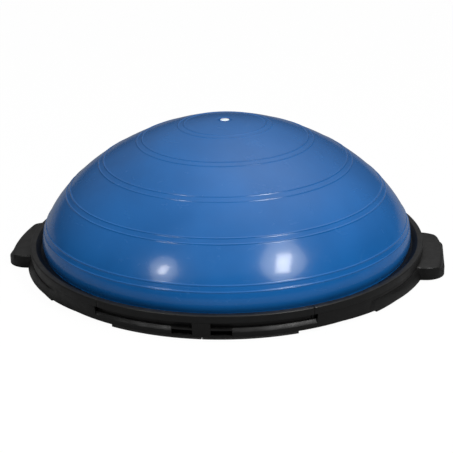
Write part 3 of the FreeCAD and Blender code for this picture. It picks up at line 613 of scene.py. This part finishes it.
class TRAINER_OT_stage(bpy.types.Operator):
    """Place the camera, the floor, the backdrop and the lamps"""

    bl_idname = "trainer.stage"
    bl_label = "Stage"

    def execute(self, context):
        stage = context.scene.trainer_stage
        self.camera(context, stage)
        self.floor()
        self.world(context, stage)
        self.lamps(context, stage)
        return {"FINISHED"}

    def camera(self, context, stage):
        data = bpy.data.cameras.new("photo_camera")
        data.lens = stage.lens
        data.sensor_width = 36.0
        camera = bpy.data.objects.new("photo_camera", data)
        context.scene.collection.objects.link(camera)
        back = Vector(
            (
                math.sin(stage.azimuth) * math.cos(stage.elevation),
                -math.cos(stage.azimuth) * math.cos(stage.elevation),
                math.sin(stage.elevation),
            )
        )
        look = (-back).to_track_quat("-Z", "Y").to_matrix().to_4x4()
        aim = look @ Matrix.Rotation(-stage.tilt, 4, "X") @ Matrix.Rotation(-stage.roll, 4, "Z")
        camera.matrix_world = Matrix.Translation(Vector((0, 0, stage.pivot)) + back * stage.distance) @ aim
        data.clip_start, data.clip_end = 0.05, 60.0
        context.scene.camera = camera
        context.scene.view_settings.view_transform = "Standard"

    def floor(self):
        """A wide floor that keeps the shadow, shows white to the camera and is grey to the object."""
        radius, drop, paleness, white, share_of_white = 9.0, 0.3 * MM, 0.3, 1.1, 0.88
        bm = bmesh.new()
        bmesh.ops.create_circle(bm, cap_ends=True, segments=96, radius=radius)
        bmesh.ops.translate(bm, verts=bm.verts, vec=(0, 0, -drop))
        piece = new_object("studio_floor", mesh_from(bm, "studio_floor", False))
        material = bpy.data.materials.new("studio_floor")
        material.use_nodes = True
        tree = material.node_tree
        shader = tree.nodes["Principled BSDF"]
        shader.inputs["Base Color"].default_value = (paleness, paleness, paleness, 1.0)
        shader.inputs["Roughness"].default_value = 0.9
        shader.inputs["Specular IOR Level"].default_value = 0.1
        camera_ray = add_node(tree, "ShaderNodeLightPath").outputs["Is Camera Ray"]
        share = maths(tree, "MULTIPLY", camera_ray, share_of_white)
        glow = add_node(tree, "ShaderNodeEmission", {"Strength": white}).outputs["Emission"]
        blend = add_node(tree, "ShaderNodeMixShader", {0: share, 1: shader.outputs["BSDF"], 2: glow})
        tree.links.new(blend.outputs["Shader"], tree.nodes["Material Output"].inputs["Surface"])
        piece.data.materials.append(material)

    def world(self, context, stage):
        """A pale room that darkens towards the floor, with a soft patch of light overhead."""
        overhead, patch, patch_falloff = (0.0, 0.15, 0.99), (0.2, 0.29, 0.936), 9.0
        world = bpy.data.worlds.new("studio")
        world.use_nodes = True
        tree = world.node_tree
        ray = add_node(tree, "ShaderNodeTexCoord").outputs["Generated"]
        near = [
            add_node(tree, "ShaderNodeVectorMath", {0: ray, 1: way}, operation="DOT_PRODUCT").outputs["Value"]
            for way in (overhead, patch)
        ]
        inputs = {"Value": near[0], "To Min": stage.dusk, "To Max": stage.sky}
        shade = add_node(tree, "ShaderNodeMapRange", inputs, interpolation_type="SMOOTHSTEP")
        spot = maths(tree, "POWER", maths(tree, "MAXIMUM", near[1], 0.0), patch_falloff)
        strength = maths(tree, "MULTIPLY_ADD", spot, stage.glow, shade.outputs["Result"])
        room = tree.nodes["Background"]
        room.inputs["Color"].default_value = WHITE
        tree.links.new(strength, room.inputs["Strength"])
        white = add_node(tree, "ShaderNodeBackground", {"Color": WHITE})
        path = add_node(tree, "ShaderNodeLightPath").outputs
        seen = maths(tree, "MAXIMUM", path["Is Camera Ray"], path["Is Transmission Ray"])
        inputs = {0: seen, 1: room.outputs["Background"], 2: white.outputs["Background"]}
        blend = add_node(tree, "ShaderNodeMixShader", inputs)
        tree.links.new(blend.outputs["Shader"], tree.nodes["World Output"].inputs["Surface"])
        context.scene.world = world

    def lamps(self, context, stage):
        """A soft lamp above the front, and two that the vinyl mirrors, each in a wide weak one."""
        aim = Vector((0, 0, 0.1))
        lamps = (
            ("front_lamp", (0.4, -1.3, 2.3), (3.0, 2.2), 0.0, stage.front),
            ("window_lamp", (1.24, -1.22, 1.48), (0.3, 0.66), -25.0, stage.window),
            ("window_halo", (1.3, -1.28, 1.58), (1.0, 1.4), -25.0, stage.window_halo),
            ("slit_lamp", (-1.04, -1.57, 1.31), (0.17, 0.34), 0.0, stage.slit),
            ("slit_halo", (-1.1, -1.62, 1.4), (0.65, 1.0), 15.0, stage.slit_halo),
        )
        for name, place, (width, height), turn, watts in lamps:
            data = bpy.data.lights.new(name, "AREA")
            data.shape = "ELLIPSE" if name.endswith("halo") else "RECTANGLE"
            data.size, data.size_y = width, height
            data.energy = watts
            lamp = bpy.data.objects.new(name, data)
            context.scene.collection.objects.link(lamp)
            lamp.location = place
            towards = (aim - Vector(place)).to_track_quat("-Z", "Y")
            lamp.rotation_mode = "QUATERNION"
            lamp.rotation_quaternion = towards @ Quaternion((0, 0, 1), math.radians(turn))


class TRAINER_OT_dome(bpy.types.Operator):
    """Make the inflated vinyl dome with its raised grip bands"""

    bl_idname = "trainer.dome"
    bl_label = "Dome"

    def execute(self, context):
        skin = new_object("dome_skin", dome_skin_mesh(), "blue_vinyl")
        settle(skin, "dome", "blue_vinyl", "dome_bladder")
        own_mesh(skin)
        return {"FINISHED"}


class TRAINER_OT_valve(bpy.types.Operator):
    """Make the valve in the crown and its white plug"""

    bl_idname = "trainer.valve"
    bl_label = "Valve and plug"

    def execute(self, context):
        low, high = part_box("valve_body")
        barrel, rim = 9.85 * MM, high.z
        dish, dish_floor, bore = 8.3 * MM, 219.7 * MM, 3.6 * MM
        flange_top, flange = 218.1 * MM, 18.0 * MM
        flange_low = flange_top - 2.0 * MM
        cup = rounded(
            [
                (bore, low.z, 0.0),
                (barrel - 2.0 * MM, low.z, 0.6 * MM),
                (barrel, flange_low - 4.0 * MM, 0.6 * MM),
                (barrel, flange_low, 0.4 * MM),
                (flange, flange_low, 0.5 * MM),
                (flange, flange_top, 0.5 * MM),
                (barrel, flange_top, 0.4 * MM),
                (barrel, rim, 0.5 * MM),
                (dish, rim, 0.5 * MM),
                (dish, dish_floor, 0.7 * MM),
                (bore, dish_floor, 0.3 * MM),
            ]
        )
        valve = new_object("valve_cup", mesh_from(spun(cup, 96), "valve_cup"), "blue_vinyl")
        settle(valve, "dome", "blue_vinyl", "valve_body")
        self.plug()
        return {"FINISHED"}

    def plug(self):
        low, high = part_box("valve_plug")
        head, stem, tip = 6.6 * MM, 3.55 * MM, 2.6 * MM
        under, edge = 220.0 * MM, 221.6 * MM
        dome = (head * head + (high.z - edge) ** 2) / (2 * (high.z - edge))
        side = rounded(
            [
                (head, edge, 0.0),
                (head, under, 0.35 * MM),
                (stem, under, 0.3 * MM),
                (stem, low.z + 2.5 * MM, 0.3 * MM),
                (tip, low.z, 0.4 * MM),
                (0.1 * MM, low.z, 0.0),
            ]
        )[:-1]
        cap = []
        for step in range(10):
            radius = head * step / 10
            cap.append(Vector((radius, high.z - dome + math.sqrt(dome * dome - radius * radius))))
        outline = cap + side + [Vector((0.0, low.z))]
        plug = new_object("plug_cap", mesh_from(spun(outline, 96), "plug_cap"), "white_plug")
        settle(plug, "plug", "white_plug", "valve_plug")


class TRAINER_OT_ring(bpy.types.Operator):
    """Make the four lengths of the clamp ring with rounded lips"""

    bl_idname = "trainer.ring"
    bl_label = "Clamp ring"

    def execute(self, context):
        rim = context.scene.trainer_rim
        section = rounded(
            [
                (rim.spigot_inner, rim.seat, 0.3 * MM),
                (rim.spigot_outer, rim.seat, 0.3 * MM),
                (rim.spigot_outer, rim.joint, 0.5 * MM),
                (rim.lip, rim.joint, 0.6 * MM),
                (rim.lip, rim.lip_top, 2.2 * MM),
                (rim.lip_inner, rim.lip_top, 1.4 * MM),
                (rim.bend_radius, rim.bend_height, 2.5 * MM),
                (rim.flange_inner, rim.flange_top, 0.6 * MM),
                (rim.flange_inner, rim.flange_low, 0.4 * MM),
                (rim.spigot_inner, rim.flange_low, 0.3 * MM),
            ]
        )
        for side, (middle, sweep) in RINGS.items():
            gap = rim.seam / rim.lip
            turn = math.radians(sweep) - gap
            columns = round(turn / rim.step)
            bm = spun(section, columns, math.radians(middle) - turn / 2, turn)
            piece = new_object(f"ring_{side}", mesh_from(bm, f"ring_{side}"), "moulded_ring")
            self.ease(piece)
            settle(piece, "platform", "moulded_ring", f"clamp_ring_{side}")
        return {"FINISHED"}

    def ease(self, piece):
        """Rounds the cut ends of a length of ring."""
        bevel = piece.modifiers.new("ends", "BEVEL")
        bevel.width = 0.35 * MM
        bevel.segments = 2
        bevel.limit_method = "ANGLE"
        bevel.angle_limit = SHARP_END


class TRAINER_OT_shell(bpy.types.Operator):
    """Round the moulded edges of the platform's shell and give it its grained finish"""

    bl_idname = "trainer.shell"
    bl_label = "Platform shell"

    def execute(self, context):
        rim = context.scene.trainer_rim
        bm = bmesh.new()
        bm.from_mesh(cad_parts["base_shell"].data)
        bmesh.ops.remove_doubles(bm, verts=bm.verts, dist=0.01 * MM)
        bmesh.ops.dissolve_limit(bm, angle_limit=math.radians(0.6), verts=bm.verts, edges=bm.edges)
        mesh = bpy.data.meshes.new("platform_shell")
        bm.to_mesh(mesh)
        bm.free()
        piece = new_object("platform_shell", mesh, "moulded_shell")
        mesh.polygons.foreach_set("use_smooth", [True] * len(mesh.polygons))
        bevel = piece.modifiers.new("edges", "BEVEL")
        bevel.width = rim.edge
        bevel.segments = 2
        bevel.limit_method = "ANGLE"
        bevel.angle_limit = math.radians(35)
        bevel.harden_normals = True
        settle(piece, "platform", "moulded_shell", "base_shell")
        return {"FINISHED"}


class TRAINER_OT_deck(bpy.types.Operator):
    """Give the inner deck its finish"""

    bl_idname = "trainer.deck"
    bl_label = "Inner deck"

    def execute(self, context):
        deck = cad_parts["support_deck"]
        deck.data.materials.clear()
        deck.data.materials.append(finish_named("inner_deck"))
        return {"FINISHED"}


def new_tree(name, *inputs):
    """A geometry tree with its inputs, given as (name, kind, default), a finish and a result."""
    tree = bpy.data.node_groups.new(name, "GeometryNodeTree")
    for label, kind, default in (("Geometry", "Geometry", None), *inputs, ("Finish", "Material", None)):
        socket = tree.interface.new_socket(label, in_out="INPUT", socket_type=f"NodeSocket{kind}")
        if default is not None:
            socket.default_value = default
    tree.interface.new_socket("Geometry", in_out="OUTPUT", socket_type="NodeSocketGeometry")
    return tree


def join_copies(tree, points, original, finish, **more):
    """Puts a copy on every point and joins all into one mesh with its finish, as the tree's result."""
    inputs = {"Points": points, "Instance": original, **more}
    copies = add_node(tree, "GeometryNodeInstanceOnPoints", inputs).outputs["Instances"]
    whole = add_node(tree, "GeometryNodeRealizeInstances", {"Geometry": copies}).outputs["Geometry"]
    painted = add_node(tree, "GeometryNodeSetMaterial", {"Geometry": whole, "Material": finish})
    add_node(tree, "NodeGroupOutput", {"Geometry": painted.outputs["Geometry"]})


def circle_tree(name):
    """Copies of an object round a circle, each turned with its place, joined into one mesh."""
    tree = new_tree(
        name,
        ("Original", "Object", None),
        ("Count", "Int", 8),
        ("Radius", "Float", 0.1),
        ("First angle", "Float", 0.0),
    )
    given = add_node(tree, "NodeGroupInput").outputs
    index = add_node(tree, "GeometryNodeInputIndex").outputs["Index"]
    share = maths(tree, "DIVIDE", index, given["Count"])
    turn = maths(tree, "MULTIPLY_ADD", share, FULL_TURN, given["First angle"])
    away = add_node(tree, "ShaderNodeCombineXYZ", {"X": given["Radius"]}).outputs["Vector"]
    place = add_node(tree, "ShaderNodeVectorRotate", {"Vector": away, "Angle": turn}, rotation_type="Z_AXIS")
    points = add_node(
        tree, "GeometryNodePoints", {"Count": given["Count"], "Position": place.outputs["Vector"]}
    )
    original = add_node(tree, "GeometryNodeObjectInfo", {"Object": given["Original"]})
    around = add_node(tree, "ShaderNodeCombineXYZ", {"Z": turn}).outputs["Vector"]
    join_copies(
        tree, points.outputs["Points"], original.outputs["Geometry"], given["Finish"], Rotation=around
    )
    return tree


def stud_tree(name):
    """Studs in staggered rows over a disc, joined into one mesh."""
    sides, taper = 12, 0.72
    tree = new_tree(
        name,
        ("Pitch", "Float", 0.02),
        ("Reach", "Float", 0.24),
        ("Height", "Float", 0.0),
        ("Foot radius", "Float", 0.003),
        ("Drop", "Float", 0.001),
        ("Rows", "Int", 32),
    )
    given = add_node(tree, "NodeGroupInput").outputs
    sums = partial(maths, tree)
    index = add_node(tree, "GeometryNodeInputIndex").outputs["Index"]
    rows = given["Rows"]
    row = sums("FLOOR", sums("DIVIDE", index, rows))
    column = sums("MODULO", index, rows)
    half = sums("MULTIPLY", rows, 0.5)
    shift = sums("MULTIPLY", sums("MODULO", row, 2.0), 0.5)
    across = sums("MULTIPLY", sums("SUBTRACT", sums("ADD", column, shift), half), given["Pitch"])
    row_pitch = sums("MULTIPLY", given["Pitch"], ROW_SHARE)
    along = sums("MULTIPLY", sums("SUBTRACT", row, half), row_pitch)
    place = add_node(tree, "ShaderNodeCombineXYZ", {"X": across, "Y": along, "Z": given["Height"]})
    inputs = {"Count": sums("MULTIPLY", rows, rows), "Position": place.outputs["Vector"]}
    points = add_node(tree, "GeometryNodePoints", inputs).outputs["Points"]
    away = sums("SQRT", sums("ADD", sums("MULTIPLY", across, across), sums("MULTIPLY", along, along)))
    outside = sums("GREATER_THAN", away, given["Reach"])
    inputs = {"Geometry": points, "Selection": outside}
    trimmed = add_node(tree, "GeometryNodeDeleteGeometry", inputs, domain="POINT")
    inputs = {
        "Vertices": sides,
        "Radius Bottom": given["Foot radius"],
        "Radius Top": sums("MULTIPLY", given["Foot radius"], taper),
        "Depth": given["Drop"],
    }
    stud = add_node(tree, "GeometryNodeMeshCone", inputs).outputs["Mesh"]
    inputs = {"Geometry": stud, "Rotation": (math.pi, 0.0, 0.0)}
    turned = add_node(tree, "GeometryNodeTransform", inputs)
    join_copies(tree, trimmed.outputs["Geometry"], turned.outputs["Geometry"], given["Finish"])
    return tree


def grown(name, tree, values):
    """A plain mesh object from a tree and its named inputs."""
    holder = new_object(f"{name}_seed", bpy.data.meshes.new(f"{name}_seed"))
    modifier = holder.modifiers.new("tree", "NODES")
    modifier.node_group = tree
    for item in tree.interface.items_tree:
        if item.in_out == "INPUT" and item.name in values:
            modifier[item.identifier] = values[item.name]
    holder.update_tag()
    bpy.context.view_layer.update()
    graph = bpy.context.evaluated_depsgraph_get()
    mesh = bpy.data.meshes.new_from_object(holder.evaluated_get(graph))
    mesh.name = name
    bpy.data.objects.remove(holder)
    piece = bpy.data.objects.new(name, mesh)
    bpy.context.scene.collection.objects.link(piece)
    return piece


def screw_original(head_face, tip):
    """A pan-head screw with a cross recess, head down, at the origin."""
    head, shank, thick = 2.8 * MM, 1.4 * MM, 2.0 * MM
    outline = rounded(
        [
            (0.05 * MM, head_face - thick, 0.0),
            (head, head_face - thick, 0.9 * MM),
            (head, head_face, 0.15 * MM),
            (shank, head_face, 0.0),
            (shank, tip - 2.0 * MM, 0.0),
            (0.3 * MM, tip, 0.0),
        ]
    )
    outline[0] = Vector((0.0, head_face - thick))
    outline[-1] = Vector((0.0, tip))
    mesh = mesh_from(spun(outline, 24), "screw_original")
    screw = new_object("screw_original", mesh)
    cross = bmesh.new()
    for turn in (0.0, math.pi / 2):
        arm = Matrix.Rotation(turn, 4, "Z") @ Matrix.Translation((0, 0, head_face - thick))
        bar = Matrix.Diagonal((3.2 * MM, 0.7 * MM, 2.2 * MM, 1.0))
        bmesh.ops.create_cube(cross, size=1.0, matrix=arm @ bar)
    cutter = new_object("screw_cutter", mesh_from(cross, "screw_cutter", False))
    cut = screw.modifiers.new("cross", "BOOLEAN")
    cut.object = cutter
    cut.operation = "DIFFERENCE"
    cut.use_self = True
    bpy.context.view_layer.update()
    graph = bpy.context.evaluated_depsgraph_get()
    finished = bpy.data.meshes.new_from_object(screw.evaluated_get(graph))
    bpy.data.objects.remove(cutter)
    bpy.data.objects.remove(screw)
    return new_object("screw_original", finished)


class TRAINER_OT_screws(bpy.types.Operator):
    """Make the ring's screws with cross recesses, all round the channel"""

    bl_idname = "trainer.screws"
    bl_label = "Screws"

    def execute(self, context):
        rim = context.scene.trainer_rim
        original = screw_original(rim.head_face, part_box("ring_screws")[1].z)
        tree = circle_tree("screws_round_a_circle")
        screws = grown(
            "ring_screws_dressed",
            tree,
            {
                "Original": original,
                "Count": rim.screw_count,
                "Radius": rim.screw_circle,
                "First angle": math.pi / rim.screw_count,
                "Finish": finish_named("screw_steel"),
            },
        )
        bpy.data.objects.remove(original)
        settle(screws, "platform", "screw_steel", "ring_screws")
        deck_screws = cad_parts["deck_screws"]
        deck_screws.data.materials.clear()
        deck_screws.data.materials.append(finish_named("screw_steel"))
        return {"FINISHED"}


class TRAINER_OT_feet(bpy.types.Operator):
    """Make the rubber feet, arcs along the rim with grooved soles"""

    bl_idname = "trainer.feet"
    bl_label = "Rubber feet"

    def execute(self, context):
        rim = context.scene.trainer_rim
        for number, (middle, hand, place) in FEET.items():
            start, sweep = getattr(rim, f"{place}_start"), getattr(rim, f"{place}_sweep")
            outer = rim.foot_front if place == "front" else rim.foot_side
            first = math.radians(middle) + (start if hand > 0 else -start - sweep)
            bm = spun(self.section(rim, outer), round(sweep / rim.step), first, sweep)
            piece = new_object(f"foot_strip_{number}", mesh_from(bm, f"foot_strip_{number}"), "foot_rubber")
            bevel = piece.modifiers.new("ends", "BEVEL")
            bevel.width = 0.5 * MM
            bevel.segments = 2
            bevel.limit_method = "ANGLE"
            bevel.angle_limit = SHARP_END
            settle(piece, "platform", "foot_rubber", f"foot_pad_{number}")
        return {"FINISHED"}

    def section(self, rim, outer):
        """A strip's section, with three grooves along its sole."""
        depth, half = 0.9 * MM, 0.8 * MM
        corners = [(rim.foot_inner, 0.0, 1.0 * MM)]
        width = outer - rim.foot_inner
        for share in (0.28, 0.5, 0.72):
            middle = rim.foot_inner + share * width
            corners += [
                (middle - half, 0.0, 0.2 * MM),
                (middle - half, depth, 0.3 * MM),
                (middle + half, depth, 0.3 * MM),
                (middle + half, 0.0, 0.2 * MM),
            ]
        corners += [
            (outer, 0.0, 1.0 * MM),
            (outer, rim.foot_top, 0.2 * MM),
            (rim.foot_inner, rim.foot_top, 0.2 * MM),
        ]
        return rounded(corners)


class TRAINER_OT_tread(bpy.types.Operator):
    """Make the low studs of the flat underside, which is stood on when the trainer is turned over"""

    bl_idname = "trainer.tread"
    bl_label = "Tread studs"

    def execute(self, context):
        rim = context.scene.trainer_rim
        face = rim.foot_top
        studs = grown(
            "tread_studs",
            stud_tree("staggered_studs"),
            {
                "Pitch": rim.stud_pitch,
                "Reach": rim.tread_reach,
                "Height": face + 0.05 * MM,
                "Foot radius": rim.stud_radius,
                "Drop": rim.stud_drop + 0.05 * MM,
                "Rows": 2 * math.ceil(rim.tread_reach / rim.stud_pitch / ROW_SHARE) + 2,
                "Finish": finish_named("moulded_shell"),
            },
        )
        settle(studs, "platform", "moulded_shell")
        return {"FINISHED"}


OPERATORS = (
    TRAINER_OT_stage,
    TRAINER_OT_dome,
    TRAINER_OT_valve,
    TRAINER_OT_ring,
    TRAINER_OT_shell,
    TRAINER_OT_deck,
    TRAINER_OT_screws,
    TRAINER_OT_feet,
    TRAINER_OT_tread,
)


class TRAINER_PT_sidebar(bpy.types.Panel):
    """Lists what can be built and the sizes behind it"""

    bl_label = "Balance dome trainer"
    bl_idname = "TRAINER_PT_sidebar"
    bl_space_type = "VIEW_3D"
    bl_region_type = "UI"
    bl_category = "Trainer"

    def draw(self, context):
        for operator in OPERATORS:
            self.layout.operator(operator.bl_idname)
        for name in SETTINGS:
            box = self.layout.box()
            group = getattr(context.scene, name)
            for prop in group.bl_rna.properties:
                if prop.identifier not in {"rna_type", "name"}:
                    box.prop(group, prop.identifier)


CLASSES = (*SETTINGS.values(), *OPERATORS, TRAINER_PT_sidebar)


def register():
    for cls in CLASSES:
        bpy.utils.register_class(cls)
    for name, group in SETTINGS.items():
        setattr(bpy.types.Scene, name, PointerProperty(type=group))


def unregister():
    for name in SETTINGS:
        delattr(bpy.types.Scene, name)
    for cls in reversed(CLASSES):
        bpy.utils.unregister_class(cls)


def main():
    """Builds the stage and every piece in order."""
    register()
    bpy.ops.trainer.stage()
    bpy.ops.trainer.dome()
    bpy.ops.trainer.valve()
    bpy.ops.trainer.ring()
    bpy.ops.trainer.shell()
    bpy.ops.trainer.deck()
    bpy.ops.trainer.screws()
    bpy.ops.trainer.feet()
    bpy.ops.trainer.tread()


if __name__ == "__main__":
    main()
